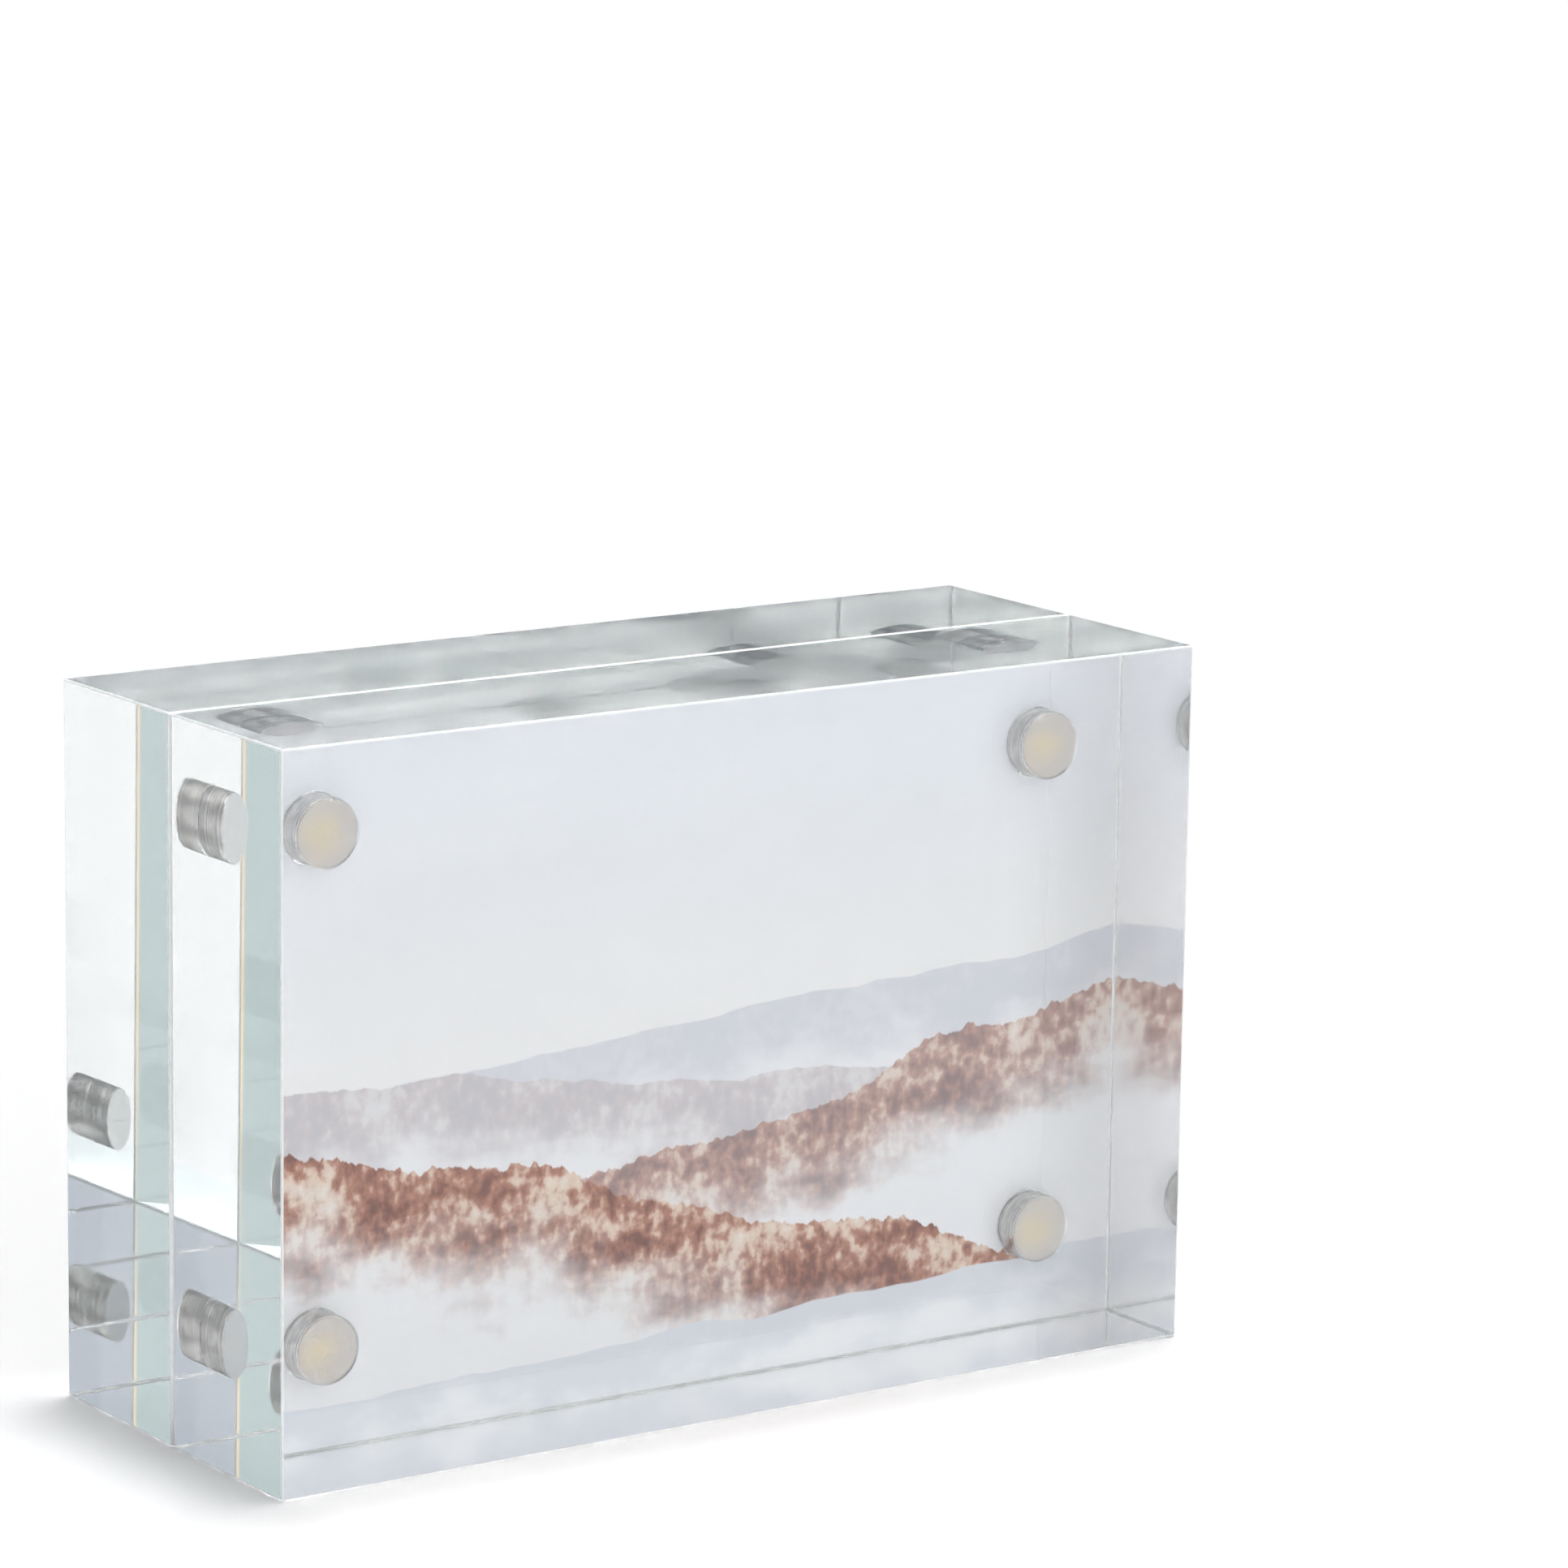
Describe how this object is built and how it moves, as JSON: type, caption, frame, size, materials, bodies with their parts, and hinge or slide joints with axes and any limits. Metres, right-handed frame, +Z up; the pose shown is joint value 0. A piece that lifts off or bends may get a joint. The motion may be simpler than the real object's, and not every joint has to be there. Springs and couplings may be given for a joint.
{
  "type": "magnetic acrylic photo frame",
  "caption": "Free-standing photo frame of thick clear acrylic blocks that clamp a print between them with disc magnets set in their corners; the front block pulls off to change the print.",
  "frame": {"origin": "on the table under the middle of the closed frame", "axes": "+X along the frame's long side, to the right as seen from the front; +Y from the front face to the rear face; +Z up"},
  "size_m": [0.0764, 0.0298, 0.0518],
  "materials": {
    "acrylic": "polished",
    "nickel": "satin",
    "glue": "gloss",
    "photo_paper": "satin"
  },
  "bodies": {
    "rear_half": {"rear_block": "acrylic", "rear_magnet_upper_left": "nickel", "rear_magnet_upper_right": "nickel", "rear_magnet_lower_left": "nickel", "rear_magnet_lower_right": "nickel", "rear_glue_upper_left": "glue", "rear_glue_upper_right": "glue", "rear_glue_lower_left": "glue", "rear_glue_lower_right": "glue"},
    "front_half": {"front_block": "acrylic", "front_magnet_upper_left": "nickel", "front_magnet_upper_right": "nickel", "front_magnet_lower_left": "nickel", "front_magnet_lower_right": "nickel", "front_glue_upper_left": "glue", "front_glue_upper_right": "glue", "front_glue_lower_left": "glue", "front_glue_lower_right": "glue"},
    "print": {"photo_print": "photo_paper"}
  },
  "joints": [
    {"name": "front_pull", "type": "slide", "parent": "rear_half", "child": "front_half", "axis": [0, -1, 0], "range_m": [0, 0.06]},
    {"name": "print_pull", "type": "slide", "parent": "rear_half", "child": "print", "axis": [0, 0, 1], "range_m": [0, 0.052]}
  ]
}
